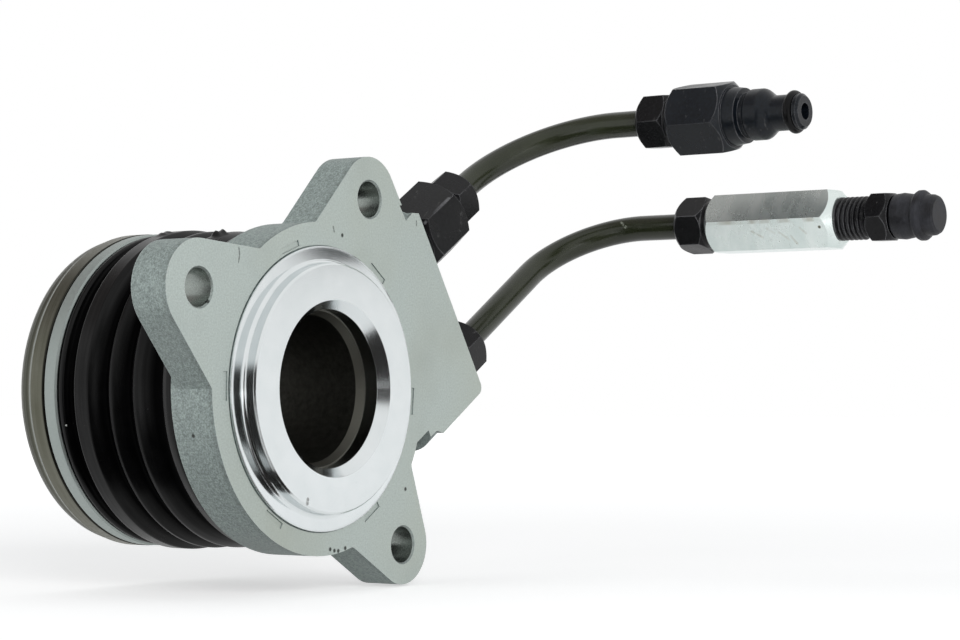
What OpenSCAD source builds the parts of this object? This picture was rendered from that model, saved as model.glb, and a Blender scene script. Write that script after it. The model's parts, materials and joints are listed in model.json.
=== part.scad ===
// Concentric slave cylinder with a feed line and a bleed line.
// Each sub-part is drawn with the cylinder axis along z, the mounting face at z = 0, the gearbox
// towards +z and the clutch towards -z. to_row() then turns it so that the cylinder lies along y
// and y up becomes z up. Radii grow from the guide tube's bore outwards by walls and steps, and
// places follow each other along the axis.

/* [Guide tube] */
// Inner radius of the guide tube
tube_bore_r = 13.2; // [12:0.05:15]
// Wall of the guide tube
tube_wall = 1.4; // [1:0.05:2]
// Width of the bevel at the guide tube's mouth
tube_bevel = 0.75; // [0.3:0.05:0.85]
// How far the guide tube reaches past the bearing carrier's front
tube_out = 1.3; // [0:0.1:4]
// How far the guide tube's flange reaches outside the cylinder bore
tube_flange_w = 2.5; // [2.2:0.1:3.2]
// Thickness of the guide tube's flange
tube_flange_t = 2.2; // [1.8:0.1:3]
// Section of the O-ring on the guide tube's flange
tube_seal_d = 1.3; // [1:0.1:1.5]

/* [Pilot ring] */
// How much wider the ring's bore is than the guide tube's
pilot_bore_step = 0.9; // [0.9:0.05:1.4]
// Wall of the locating spigot
pilot_wall = 8.1; // [7:0.1:9.5]
// Width of the foot outside the spigot
pilot_foot_w = 3.1; // [2.5:0.1:4.5]
// How far the foot is let into the flange
pilot_seat_depth = 1.5; // [1:0.1:2]
// Chamfer of the casting round the ring
seat_chamfer = 0.2; // [0.1:0.05:0.3]
// How far the foot stands proud of the flange
pilot_foot_h = 0.5; // [0.4:0.1:1.2]
// Height of the spigot above the flange face
pilot_h = 3.1; // [2.6:0.1:5]
// Radius of the fillet at the spigot's root
pilot_fillet_r = 0.8; // [0.3:0.1:1.2]
// Chamfer on the spigot's outer edge
pilot_chamfer = 0.35; // [0.1:0.05:0.6]
// Width of the wide chamfer at the mouth of the bore
mouth_chamfer = 1.6; // [0.5:0.1:2.5]
// Directions of the stake marks round the ring
stake_angles = [53, 110, 179, 239, 302, 355]; // [0:1:360]
// Length of a stake mark along the ring
stake_length = 5; // [3:0.1:6]
// Width of a stake mark
stake_width = 1.1; // [0.6:0.1:1.5]
// Depth of a stake mark
stake_depth = 0.3; // [0.1:0.05:0.6]

/* [Flange] */
// Width of the flange face outside the pilot ring
flange_margin = 4.3; // [3:0.1:6]
// Thickness of the round flange
flange_t = 9.3; // [8.6:0.1:11]
// Thickness of the ears
ear_t = 7.7; // [6:0.1:8.4]
// Distance of the bolt holes outside the round flange
ear_reach = 7.4; // [6.5:0.1:10]
// Directions of the left, top and bottom ear
ear_angles = [152.7, 68.4, -50.9]; // [-180:0.1:180]
// Radii of the three ear tips
ear_tip_r = [8.3, 7.8, 7.3]; // [6:0.1:9]
// How far the ears' sides run inside the round flange
ear_root_in = [6.8, 7.7, 9.6]; // [4:0.1:12]
// Radius of the fillets between ears, block and flange
ear_fillet_r = 2; // [0.5:0.1:4]
// Diameter of the bolt holes
bolt_hole_d = 6.6; // [6:0.1:8]
// Width of the chamfer on each bolt hole
bolt_chamfer = 0.3; // [0.1:0.05:0.6]

/* [Cylinder] */
// Width of the pressure chamber round the guide tube
chamber_w = 4.4; // [3.8:0.1:5.5]
// Wall of the cylinder behind the flange
cylinder_wall = 3.5; // [2.5:0.1:4.5]
// How far the cylinder stands out behind the flange
cylinder_out = 15.5; // [12.5:0.1:18]
// Width of the seat that carries the boot's front bead
boot_seat_w = 3; // [2:0.1:4]

/* [Port block] */
// Direction in which both ports face
port_angle = 32; // [20:1:45]
// Distance of the port face outside the round flange
port_reach = 11.9; // [11:0.1:15]
// Depth of the port axes behind the flange face
port_depth = 6.5; // [6.2:0.1:7.2]
// Sideways place of the feed port
feed_side = -5.7; // [-7:0.1:-4]
// Sideways place of the bleed port
bleed_side = 20; // [17:0.1:22]
// Wall between the bleed port's axis and the block's lower side
block_low_wall = 6.2; // [5.8:0.1:8]
// Wall between the feed port's axis and the block's top corner
block_top_wall = 6.9; // [6.3:0.1:8]
// Length of the block's level top edge
block_top_l = 4.4; // [3.5:0.1:6]
// Wall of the block behind the port axes
block_back_wall = 6.5; // [5.8:0.1:8]
// Radius of the block's lower corner
block_corner_r = 1.5; // [0.5:0.1:3]
// How far the block's lower side steps in beside the flange
block_step = 3; // [1:0.1:3.5]
// Distance of that step from the port face
block_step_back = 15.3; // [12:0.1:17]
// Depth of the small notch beside the top ear
notch_depth = 1.6; // [0.8:0.1:2]
// Wall round each port thread
port_boss_wall = 3; // [2:0.1:3.5]
// Radius of the port threads and of all tube nut threads
port_thread_r = 5; // [4.2:0.1:5.2]
// Wall between the port's floor and the boot's room
port_floor_wall = 0.2; // [0.1:0.05:1.5]
// Radius of the oil drillings
drill_r = 1; // [0.6:0.1:1.2]

/* [Piston and spring] */
// Travel of the release bearing
travel = 12; // [8:0.5:14]
// Room between cylinder and carrier when the bearing is pushed right in
end_gap = 0.5; // [0.3:0.1:1.5]
// Clearance of the piston round the guide tube
piston_slip = 0.05; // [0.02:0.01:0.1]
// Clearance of the piston in the cylinder
piston_gap = 0.1; // [0.05:0.01:0.3]
// Length of the piston's head
piston_head_l = 13.7; // [12.6:0.1:15]
// Length of the piston seal
piston_seal_l = 3.5; // [2.5:0.1:4]
// Wall of the piston's tail that carries the bearing
piston_tail_wall = 2.15; // [1.6:0.05:2.8]
// How far the piston's tail stands out of the bearing's inner ring
piston_tail_out = 1.8; // [1.6:0.1:2.5]
// Diameter of the spring wire
spring_wire_d = 2.3; // [1.6:0.1:2.4]
// Turns of the spring
spring_turns = 4.5; // [3:0.5:5]
// Clearance between the cylinder wall and the spring
spring_gap = 0.4; // [0.3:0.05:1]

/* [Boot] */
// Room between the spring and the boot's seat
boot_seat_step = 1; // [0.8:0.1:2]
// How far the boot's valleys stand outside its seat
boot_valley_step = 0.8; // [0.7:0.05:1.5]
// Depth of the boot's folds next to the flange
boot_fold_front = 1.4; // [1.2:0.1:2.6]
// Depth of the boot's folds next to the bearing
boot_fold_back = 2.3; // [1.2:0.1:2.6]
// Wall of the boot
boot_wall = 1; // [0.7:0.05:1.1]
// Number of full folds
boot_folds = 3; // [2:1:4]
// Thickness of the boot's end bands
boot_band_t = 2.4; // [1.8:0.1:2.6]
// Width of the front band
boot_front_w = 3.6; // [3:0.1:4]
// Width of the rear band
boot_rear_w = 1.7; // [1.4:0.1:2]

/* [Release bearing] */
// Thickness of the bearing's inner ring
inner_ring_t = 6.37; // [5:0.01:7]
// Depth of the ball grooves' shoulders from the ball centres
land_depth = 1; // [0.9:0.05:1.2]
// Thickness of the turning ring
outer_ring_t = 3.7; // [3.2:0.1:4.5]
// Room between the shield and the balls
ball_front_gap = 0.31; // [0.2:0.01:1.5]
// How far the contact face's edge is rounded off
contact_round = 2.5; // [1:0.1:3]
// How far outside the piston's tail the contact face begins
contact_step = 4.2; // [3:0.1:5]
// Thickness of the contact face
contact_t = 1.4; // [1:0.05:1.6]
// Diameter of a ball
ball_d = 3.97; // [3.6:0.01:4.2]
// Number of balls
ball_count = 20; // [12:1:24]
// Clearance between balls and grooves
ball_gap = 0.06; // [0.03:0.01:0.1]
// Clearance of the cage all round
cage_gap = 0.3; // [0.2:0.05:0.35]
// Thickness of the shield
shield_t = 0.6; // [0.3:0.05:0.7]
// How far the carrier stays inside the turning ring's radius
carrier_step = 0.1; // [0:0.05:0.5]
// Thickness of the carrier's plate
carrier_t = 1.5; // [1:0.1:1.8]
// Width of the carrier's rim
carrier_rim_w = 2.7; // [2.2:0.1:3]
// Thickness of the carrier's rim
carrier_rim_t = 1.4; // [1:0.1:2]
// Thickness of the carrier's collar inside the boot
collar_t = 0.8; // [0.5:0.05:0.9]
// Gap between the carrier and the turning ring
ring_gap = 0.35; // [0.3:0.05:0.5]

/* [Lines] */
// Outer diameter of the coated pipes
pipe_d = 5.1; // [4.5:0.05:5.6]
// Bore of the pipes
pipe_bore_d = 3.2; // [2.5:0.1:3.6]
// Clearance between a pipe and its nuts
pipe_gap = 0.05; // [0.02:0.01:0.1]
// Clearance of screwed parts in their threads
thread_gap = 0.03; // [0.01:0.01:0.08]
// Straight pipe between the feed port's nut and the bend
feed_straight = 3.6; // [1:0.1:10]
// Bend radius of the feed pipe
feed_bend_r = 22.9; // [16:0.1:24]
// Straight pipe between the feed pipe's bend and the connector's nut
feed_rise = 6.8; // [2:0.1:16]
// Straight pipe between the bleed port's nut and the bend
bleed_straight = 26.5; // [10:0.1:32]
// Bend radius of the bleed pipe
bleed_bend_r = 18; // [14:0.1:22]
// Straight pipe between the bleed pipe's bend and the adapter's nut
bleed_rise = 9.6; // [2:0.1:16]
// Width across flats of the tube nuts
nut_af = 10; // [9.5:0.1:11.5]
// Length of a tube nut's hexagon
nut_hex_l = 6.6; // [5:0.1:8]
// Length of a tube nut's thread
nut_thread_l = 9; // [6:0.5:10]
// Gap between a tube nut and the part that it screws into
nut_seat = 0.8; // [0.3:0.1:1]
// Turns of the four tube nuts: feed inner, feed outer, bleed inner, bleed outer
nut_turns = [32, 32, 38, 12]; // [0:1:60]
// Angle of the turned ends of every hexagon
hex_chamfer_angle = 45; // [30:1:50]
// How far the turned circle lies inside a hexagon's flats
hex_face_step = 0.35; // [0.2:0.05:0.5]

/* [Feed adapter] */
// Width across flats
adapter_af = 13.5; // [12.6:0.1:15]
// Length of the hexagon
adapter_hex_l = 12.4; // [11:0.1:15]
// Thickness of the collar on the port face
adapter_collar_t = 0.8; // [0.5:0.1:1.5]
// Turn of the hexagon
adapter_turn = 25; // [0:1:60]

/* [Quick connector] */
// Width across flats
connector_af = 12.8; // [12:0.1:14]
// Length of the hexagon
connector_hex_l = 12.1; // [11:0.1:15]
// Radius of the barrel behind the neck
connector_nose_r = 4.9; // [4.6:0.1:5.3]
// Length of the root between the hexagon and the groove
connector_root_l = 2.9; // [1.5:0.1:3.2]
// Width of the groove between the root and the barrel
connector_groove_w = 1; // [0.8:0.1:1.8]
// Length of the barrel
connector_barrel_l = 2.7; // [2:0.1:3.4]
// Length of the taper from the barrel to the neck
connector_taper_l = 2.9; // [2:0.1:3.4]
// Length from the hexagon to the tip
connector_nose_l = 15.2; // [14.5:0.1:18]
// Radius of the neck
connector_neck_r = 3.4; // [3:0.1:3.6]
// Radius of the oil hole in the tip
connector_hole_r = 1.6; // [1:0.1:1.8]
// Section of the O-ring
connector_seal_d = 1.6; // [1.2:0.1:1.8]
// Turn of the hexagon
connector_turn = 41; // [0:1:60]

/* [Bleed end] */
// Width across flats of the adapter
bleed_af = 11.2; // [11:0.1:13]
// Length of the adapter
bleed_l = 28; // [24:0.1:36]
// How far the adapter's outer end is turned down inside its flats
bleed_end_step = 0.9; // [0.4:0.05:1.2]
// Turn of the adapter's hexagon
bleed_turn = 27; // [0:1:60]
// Radius of the bleed screw's thread
screw_thread_r = 4.2; // [3.8:0.1:4.4]
// Depth of the thread that shows, cut down to its core
screw_thread_depth = 0.5; // [0.3:0.05:0.8]
// Length of thread that shows
screw_thread_out = 6.3; // [4:0.1:8]
// Length of thread in the adapter
screw_thread_in = 9; // [6:0.5:12]
// Width across flats of the bleed screw
screw_af = 9; // [8.8:0.1:10]
// Turn of the bleed screw's hexagon
screw_turn = 30; // [0:1:60]
// Length of the bleed screw's hexagon
screw_hex_l = 4.9; // [4:0.1:7]
// Radius of the bleed nipple
nipple_r = 3; // [2.6:0.1:3.2]
// Length of the bleed nipple
nipple_l = 7.6; // [6:0.1:9]
// Radius of the bleed hole
bleed_hole_r = 0.9; // [0.5:0.1:1.2]
// Wall of the dust cap
cap_wall = 1.2; // [0.9:0.1:1.6]
// Wall at the end of the dust cap
cap_end_t = 1.2; // [0.8:0.1:2]
// Height of the dust cap's rib
cap_rib_h = 0.5; // [0.3:0.1:0.8]
// Clearance of the dust cap round the nipple
cap_gap = 0.1; // [0.05:0.01:0.3]
// Gap between the dust cap and the bleed screw's hexagon
cap_seat_gap = 0.3; // [0.1:0.05:0.6]

/* [Hidden] */
$fn = 96;

// Overlap that a cut needs to pass right through
over = 0.5;

// Radii, from the inside out
tube_r = tube_bore_r + tube_wall;
piston_bore_r = tube_r + piston_slip;
piston_tail_r = piston_bore_r + piston_tail_wall;
cylinder_bore_r = tube_r + chamber_w;
tube_flange_r = cylinder_bore_r + tube_flange_w;
cylinder_r = cylinder_bore_r + cylinder_wall;
spring_mean_r = cylinder_r + spring_gap + spring_wire_d / 2;
boot_seat_r = spring_mean_r + spring_wire_d / 2 + boot_seat_step;
boot_valley_r = boot_seat_r + boot_valley_step;
boot_crest_r = boot_valley_r + max(boot_fold_front, boot_fold_back);
boot_band_r = boot_seat_r + boot_band_t;
pilot_bore_r = tube_bore_r + pilot_bore_step;
pilot_r = pilot_bore_r + pilot_wall;
pilot_foot_r = pilot_r + pilot_foot_w;
flange_r = pilot_foot_r + flange_margin;
ear_pitch_r = flange_r + ear_reach;
inner_bore_r = piston_tail_r + thread_gap;
inner_land_r = inner_bore_r + inner_ring_t;
ball_pitch_r = inner_land_r + land_depth;
outer_land_r = ball_pitch_r + land_depth;
ring_r = outer_land_r + outer_ring_t;
contact_r = ring_r - contact_round;
contact_bore_r = piston_tail_r + contact_step;
carrier_r = ring_r - carrier_step;

// Places along the axis, as distances behind the flange face
tube_flange_back = pilot_seat_depth + tube_flange_t;
boot_seat_back = flange_t + boot_seat_w;
cylinder_end = flange_t + cylinder_out;
carrier_front = cylinder_end + travel + end_gap;
plate_back = carrier_front + carrier_t;
carrier_back = carrier_front + carrier_rim_w;
ring_front = carrier_back + ring_gap;
shield_front = ring_front + 0.1;
head_front = carrier_front - piston_head_l;
tube_end = carrier_front + tube_out;
ball_r = ball_d / 2;
groove_r = ball_r + ball_gap;
pocket_r = ball_r + 2 * ball_gap;
cage_bridge = 0.4;
ball_place = shield_front + shield_t + ball_front_gap + ball_r;
contact_front = ball_place + pocket_r + cage_bridge + cage_gap;
ring_back = contact_front + contact_t;
inner_ring_back = ball_place + 0.8 * ball_r;
clip_t = 1;
clip_out = 1.2;
clip_groove = 0.28 * piston_tail_wall;
tail_end = inner_ring_back + piston_tail_out;
boot_front = flange_t;
fold_start = boot_front + boot_front_w;
fold_end = carrier_front - boot_rear_w;
fold_steps = 10;
lip_step = 0.2;

// Port block and lines
boot_room = 0.8;
port_face = flange_r + port_reach;
port_floor = boot_crest_r + boot_room + port_floor_wall;
port_thread_l = port_face - port_floor;
port_boss_r = port_thread_r + port_boss_wall;
block_t = port_depth + block_back_wall;
block_low_side = bleed_side + block_low_wall;
block_top_side = feed_side - block_top_wall;
block_step_place = port_face - block_step_back;
adapter_end = port_face + adapter_collar_t + adapter_hex_l;
feed_turn_start = adapter_end + nut_seat + nut_hex_l + feed_straight;
feed_reach = feed_turn_start + feed_bend_r;
connector_start = feed_bend_r - port_depth + feed_rise + nut_hex_l + nut_seat;
bleed_turn_start = port_face + nut_seat + nut_hex_l + bleed_straight;
bleed_reach = bleed_turn_start + bleed_bend_r;
bleed_start = bleed_bend_r - port_depth + bleed_rise + nut_hex_l + nut_seat;
screw_place = bleed_start + bleed_l;
screw_hex_end = screw_place + screw_thread_out + screw_hex_l;
cap_place = screw_hex_end + cap_seat_gap;
cap_l = nipple_l + cap_end_t;
cap_bore_r = nipple_r + cap_gap;
cap_r = cap_bore_r + cap_wall;

// Turn from the drawing frame to the part's own frame
module to_row() {
    rotate([90, 0, 0]) children();
}

// A ring between two distances behind the flange face
module ring(r_in, r_out, front, back) {
    rotate_extrude() translate([r_in, -back]) square([r_out - r_in, back - front]);
}

// A solid of revolution from [radius, distance behind the flange face] points
module turned(points) {
    rotate_extrude() polygon([for (p = points) [p[0], -p[1]]]);
}

// Children drawn along z, stood on a port at a sideways place
module at_port(side, along) {
    rotate([0, 0, port_angle])
        translate([along, -side, -port_depth])
            rotate([0, 90, 0])
                children();
}

// Children drawn along z, on the far axis of a line
module at_far(side, reach, z) {
    rotate([0, 0, port_angle])
        translate([reach, -side, z])
            children();
}

// A hexagon bar with its corners turned off at both ends, the far end to its own depth
module hex_bar(af, length, turn, end_step = hex_face_step) {
    corner_r = af / 2 / cos(30);
    near_r = af / 2 - hex_face_step;
    far_r = af / 2 - end_step;
    out_r = corner_r + over;
    near_rise = (out_r - near_r) * tan(hex_chamfer_angle);
    far_rise = (out_r - far_r) * tan(hex_chamfer_angle);
    intersection() {
        rotate([0, 0, turn]) cylinder(r = corner_r, h = length, $fn = 6);
        rotate_extrude() polygon([
            [0, 0], [near_r, 0], [out_r, near_rise],
            [out_r, length - far_rise], [far_r, length], [0, length]
        ]);
    }
}

// A tube nut: hexagon from z = 0 up, thread below it, drilled for the pipe
module tube_nut(turn) {
    thread_r = port_thread_r - thread_gap;
    difference() {
        union() {
            hex_bar(nut_af, nut_hex_l, turn);
            translate([0, 0, -nut_seat - nut_thread_l])
                cylinder(r = thread_r, h = nut_thread_l + nut_seat + over);
        }
        translate([0, 0, -nut_seat - nut_thread_l - over])
            cylinder(r = pipe_d / 2 + pipe_gap, h = nut_seat + nut_thread_l + nut_hex_l + 2 * over);
    }
}

// A pipe: straight along a port, one bend, straight along the far axis
module bent_pipe(side, start, turn_start, bend_r, far_end) {
    bend_end = bend_r - port_depth;
    module run(d) {
        at_port(side, start) cylinder(d = d, h = turn_start - start);
        rotate([0, 0, port_angle])
            translate([turn_start, -side, bend_end])
                rotate([90, 0, 0])
                    rotate([0, 0, -90])
                        rotate_extrude(angle = 90) translate([bend_r, 0]) circle(d = d);
        at_far(side, turn_start + bend_r, bend_end) cylinder(d = d, h = far_end - bend_end);
    }
    difference() {
        run(pipe_d);
        run(pipe_bore_d);
        at_port(side, start - over) cylinder(d = pipe_bore_d, h = 2 * over);
        at_far(side, turn_start + bend_r, far_end - over) cylinder(d = pipe_bore_d, h = 2 * over);
    }
}

// Outline of the port block, drawn with the ports along x
module block_outline() {
    top_in = block_top_l * cos(port_angle);
    top_up = block_top_l * sin(port_angle);
    polygon([
        [0, top_up - block_top_side], [port_face - top_in, top_up - block_top_side],
        [port_face, -block_top_side],
        for (a = [0:15:90])
            [port_face - block_corner_r * (1 - cos(a)), block_corner_r * (1 - sin(a)) - block_low_side],
        [block_step_place, -block_low_side],
        [block_step_place - block_step, block_step - block_low_side],
        [0, block_step - block_low_side]
    ]);
}

// Outline of the ears, with fillets to the flange and the port block inside their true outlines
module ear_outline() {
    inset = 0.15;
    top_in = block_top_l * cos(port_angle);
    web_w = 2 * block_corner_r;
    offset(r = -ear_fillet_r, $fn = 48) offset(r = ear_fillet_r, $fn = 48)
        union() {
            circle(r = flange_r - inset, $fn = 96);
            for (i = [0:2])
                hull() {
                    rotate(ear_angles[i]) translate([ear_pitch_r, 0]) circle(r = ear_tip_r[i], $fn = 48);
                    circle(r = flange_r - ear_root_in[i], $fn = 48);
                }
            rotate(port_angle) offset(delta = -inset) block_outline();
            hull() {
                rotate(ear_angles[1]) translate([ear_pitch_r, 0]) circle(r = ear_tip_r[1], $fn = 48);
                rotate(port_angle) translate([port_face - top_in - web_w, -block_top_side])
                    square([web_w, web_w / 3]);
            }
        }
}

// The port block with its two bosses, clear of the boot behind the flange
module port_block() {
    intersection() {
        union() {
            rotate([0, 0, port_angle]) translate([0, 0, -block_t]) linear_extrude(block_t) block_outline();
            for (side = [feed_side, bleed_side])
                at_port(side, cylinder_r) cylinder(r = port_boss_r, h = port_face - cylinder_r);
        }
        difference() {
            translate([0, 0, -2 * block_t]) cylinder(r = 2 * port_face, h = 2 * block_t);
            ring(0, boot_crest_r + boot_room, flange_t, 2 * block_t + over);
        }
    }
}

module housing() {
    drill_end = 0.85 * cylinder_bore_r;
    stake_r = pilot_foot_r + seat_chamfer + 0.25;
    notch_in = 0.9 * block_top_l;
    color("silver") to_row() difference() {
        union() {
            translate([0, 0, -ear_t]) linear_extrude(ear_t) ear_outline();
            ring(0, flange_r, 0, flange_t);
            ring(0, boot_seat_r, 0, boot_seat_back);
            ring(0, cylinder_r, 0, cylinder_end);
            port_block();
        }
        ring(0, pilot_foot_r, -over, pilot_seat_depth);
        translate([0, 0, -2 * seat_chamfer])
            cylinder(r1 = pilot_foot_r - seat_chamfer, r2 = pilot_foot_r + 2 * seat_chamfer,
                h = 3 * seat_chamfer);
        ring(0, tube_flange_r, 0, tube_flange_back);
        ring(0, cylinder_bore_r, 0, cylinder_end + over);
        for (a = ear_angles)
            rotate([0, 0, a]) translate([ear_pitch_r, 0, 0]) {
                translate([0, 0, -ear_t - over]) cylinder(d = bolt_hole_d, h = ear_t + 2 * over);
                translate([0, 0, -bolt_chamfer])
                    cylinder(d1 = bolt_hole_d, d2 = bolt_hole_d + 4 * bolt_chamfer, h = 2 * bolt_chamfer);
            }
        for (a = stake_angles)
            rotate([0, 0, a]) translate([stake_r, -stake_length / 2, -stake_depth])
                cube([stake_width, stake_length, stake_depth + over]);
        rotate([0, 0, port_angle]) translate([port_face, -block_top_side, -block_t - over])
            rotate([0, 0, -port_angle]) linear_extrude(block_t + 2 * over)
                polygon([
                    [-notch_in, -notch_depth], [1.35 * notch_depth + over - notch_in, over],
                    [1.35 * notch_depth - notch_in, 1.2], [-0.7 * notch_depth - 0.84 - notch_in, 1.2]
                ]);
        for (side = [feed_side, bleed_side])
            at_port(side, port_floor) cylinder(r = port_thread_r, h = port_thread_l + over);
        at_port(feed_side, drill_end) cylinder(r = drill_r, h = port_floor - drill_end + over);
        bleed_drill();
    }
}

// Slanted drilling from the bleed port's floor to the cylinder
module bleed_drill() {
    slant = 32;
    rotate([0, 0, port_angle]) translate([port_floor + 1, -bleed_side, -port_depth])
        rotate([0, -90, -slant]) cylinder(r = drill_r, h = 1.16 * cylinder_bore_r);
}

module pilot_ring() {
    color("gainsboro") to_row()
        turned([
            [pilot_bore_r, pilot_seat_depth], [pilot_foot_r, pilot_seat_depth],
            [pilot_foot_r, -pilot_foot_h], [pilot_r + pilot_fillet_r, -pilot_foot_h],
            for (a = [15:15:75])
                [pilot_r + pilot_fillet_r * (1 - sin(a)), -pilot_foot_h - pilot_fillet_r * (1 - cos(a))],
            [pilot_r, -pilot_foot_h - pilot_fillet_r], [pilot_r, -pilot_h + pilot_chamfer],
            [pilot_r - pilot_chamfer, -pilot_h], [pilot_bore_r + mouth_chamfer, -pilot_h],
            [pilot_bore_r, -pilot_h + 1.15 * mouth_chamfer]
        ]);
}

module guide_tube() {
    groove_w = tube_seal_d + 0.1;
    groove_front = pilot_seat_depth + (tube_flange_t - groove_w) / 2;
    color("dimgray") to_row() turned([
        [tube_bore_r, pilot_seat_depth + 2 * tube_bevel], [tube_bore_r + tube_bevel, pilot_seat_depth],
        [tube_flange_r, pilot_seat_depth], [tube_flange_r, groove_front],
        [tube_flange_r - tube_seal_d, groove_front], [tube_flange_r - tube_seal_d, groove_front + groove_w],
        [tube_flange_r, groove_front + groove_w], [tube_flange_r, tube_flange_back],
        [tube_r, tube_flange_back], [tube_r, tube_end - 0.4], [tube_r - 0.4, tube_end],
        [tube_bore_r, tube_end]
    ]);
}

module guide_tube_seal() {
    color("black") to_row() translate([0, 0, -pilot_seat_depth - tube_flange_t / 2])
        rotate_extrude() translate([tube_flange_r - tube_seal_d / 2, 0]) circle(d = tube_seal_d, $fn = 32);
}

module piston() {
    bore_r = piston_bore_r;
    head_r = cylinder_bore_r - piston_gap;
    groove_front = inner_ring_back;
    color("tan") to_row() turned([
        [bore_r, head_front], [head_r, head_front], [head_r, carrier_front], [piston_tail_r, carrier_front],
        [piston_tail_r, groove_front], [piston_tail_r - clip_groove, groove_front],
        [piston_tail_r - clip_groove, groove_front + clip_t], [piston_tail_r, groove_front + clip_t],
        [piston_tail_r, tail_end - 0.3], [piston_tail_r - 0.3, tail_end], [bore_r, tail_end]
    ]);
}

module piston_seal() {
    bore_r = piston_bore_r;
    lip_r = cylinder_bore_r - piston_slip;
    back = head_front;
    front = head_front - piston_seal_l;
    lip_w = 1;
    heel = 1.6;
    color("black") to_row() turned([
        [bore_r, front], [bore_r + lip_w * 0.6, front], [bore_r + lip_w, back - heel],
        [lip_r - lip_w, back - heel], [lip_r - lip_w * 0.6, front], [lip_r, front],
        [lip_r - 0.3, back], [bore_r + 0.2, back]
    ]);
}

// A point on one ring of the spring's wire
function spring_point(turn, side, sides, z0, pitch) =
    let (a = 360 * turn, b = 360 * side / sides, r = spring_mean_r + spring_wire_d / 2 * cos(b))
    [r * cos(a), r * sin(a), z0 - pitch * turn + spring_wire_d / 2 * sin(b)];

module preload_spring() {
    sides = 8;
    per_turn = 28;
    rings = per_turn * spring_turns;
    room = carrier_front - boot_seat_back - spring_wire_d - 2 * thread_gap;
    z0 = -boot_seat_back - spring_wire_d / 2 - thread_gap;
    points = [
        for (i = [0:rings]) for (j = [0:sides - 1])
            spring_point(i / per_turn, j, sides, z0, room / spring_turns)
    ];
    walls = [
        for (i = [0:rings - 1]) for (j = [0:sides - 1])
            let (k = (j + 1) % sides)
            [i * sides + j, i * sides + k, (i + 1) * sides + k, (i + 1) * sides + j]
    ];
    ends = [[for (j = [sides - 1:-1:0]) j], [for (j = [0:sides - 1]) rings * sides + j]];
    color("slategray") to_row() polyhedron(points = points, faces = concat(walls, ends));
}

// Outer radius of the folded wall, with broad crests and narrow valleys
function fold_r(s) =
    let (c = (1 - cos(360 * boot_folds * s)) / 2)
    boot_valley_r + (boot_fold_front + (boot_fold_back - boot_fold_front) * s) * pow(c, 0.7);

module boot() {
    steps = fold_steps * boot_folds;
    fold_l = fold_end - fold_start;
    outer = [for (i = [0:steps]) [fold_r(i / steps), fold_start + fold_l * i / steps]];
    inner = [for (i = [steps:-1:0]) [fold_r(i / steps) - boot_wall, fold_start + fold_l * i / steps]];
    lip_r = boot_seat_r + thread_gap;
    edge = 0.4;
    color("black") to_row() turned(concat(
        [[lip_r, boot_front], [boot_band_r - edge, boot_front], [boot_band_r, boot_front + edge],
         [boot_band_r, fold_start - edge * 2]],
        outer,
        [[boot_band_r, fold_end + edge], [boot_band_r, carrier_front],
         [boot_seat_r + lip_step, carrier_front], [boot_seat_r + lip_step, fold_end + edge]],
        inner,
        [[lip_r, fold_start - edge]]
    ));
}

module bearing_carrier() {
    collar_r = boot_seat_r + lip_step - thread_gap;
    collar_in_r = collar_r - collar_t;
    collar_l = boot_rear_w - 0.5;
    edge = 0.3;
    color("lightgray") to_row() turned([
        [inner_bore_r, carrier_front], [collar_in_r, carrier_front],
        [collar_in_r, carrier_front - collar_l], [collar_r, carrier_front - collar_l],
        [collar_r, carrier_front], [carrier_r - edge, carrier_front], [carrier_r, carrier_front + edge],
        [carrier_r, carrier_back],
        [carrier_r - carrier_rim_t, carrier_back], [carrier_r - carrier_rim_t, plate_back],
        [inner_bore_r, plate_back]
    ]);
}

module ball_groove() {
    rotate_extrude() translate([ball_pitch_r, -ball_place]) circle(r = groove_r, $fn = 48);
}

module bearing_inner_ring() {
    edge = 0.4;
    bore_r = inner_bore_r;
    color("gray") to_row() difference() {
        turned([
            [bore_r, plate_back], [inner_land_r - edge, plate_back], [inner_land_r, plate_back + edge],
            [inner_land_r, inner_ring_back - edge], [inner_land_r - edge, inner_ring_back],
            [bore_r, inner_ring_back]
        ]);
        ball_groove();
    }
}

module bearing_outer_ring() {
    step_place = ring_front + 0.42 * (ring_back - ring_front);
    step = 0.35;
    step_l = 0.8;
    round_l = ring_back - step_place - step_l;
    shoulder_r = ring_r - step;
    color("#6b685d") to_row() difference() {
        turned([
            [outer_land_r, ring_front], [ring_r - 0.2, ring_front], [ring_r, ring_front + 0.2],
            [ring_r, step_place], [shoulder_r, step_place + step_l],
            for (a = [15:15:90])
                [contact_r + (shoulder_r - contact_r) * cos(a), step_place + step_l + round_l * sin(a)],
            [contact_bore_r + 0.3, ring_back], [contact_bore_r, ring_back - 0.3],
            [contact_bore_r, contact_front], [outer_land_r, contact_front]
        ]);
        ball_groove();
    }
}

module bearing_balls() {
    color("gainsboro") to_row()
        for (i = [0:ball_count - 1])
            rotate([0, 0, 360 * i / ball_count]) translate([ball_pitch_r, 0, -ball_place])
                sphere(r = ball_r, $fn = 24);
}

module bearing_cage() {
    front = ball_place - 0.75 * ball_r;
    back = ball_place + pocket_r + cage_bridge;
    color("saddlebrown") to_row() difference() {
        ring(inner_land_r + cage_gap, outer_land_r - cage_gap, front, back);
        for (i = [0:ball_count - 1])
            rotate([0, 0, 360 * i / ball_count]) translate([inner_land_r, 0, -ball_place])
                rotate([0, 90, 0]) cylinder(r = pocket_r, h = outer_land_r - inner_land_r, $fn = 24);
    }
}

module bearing_shield() {
    color("black") to_row()
        ring(inner_land_r + cage_gap, outer_land_r - thread_gap, shield_front, shield_front + shield_t);
}

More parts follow.
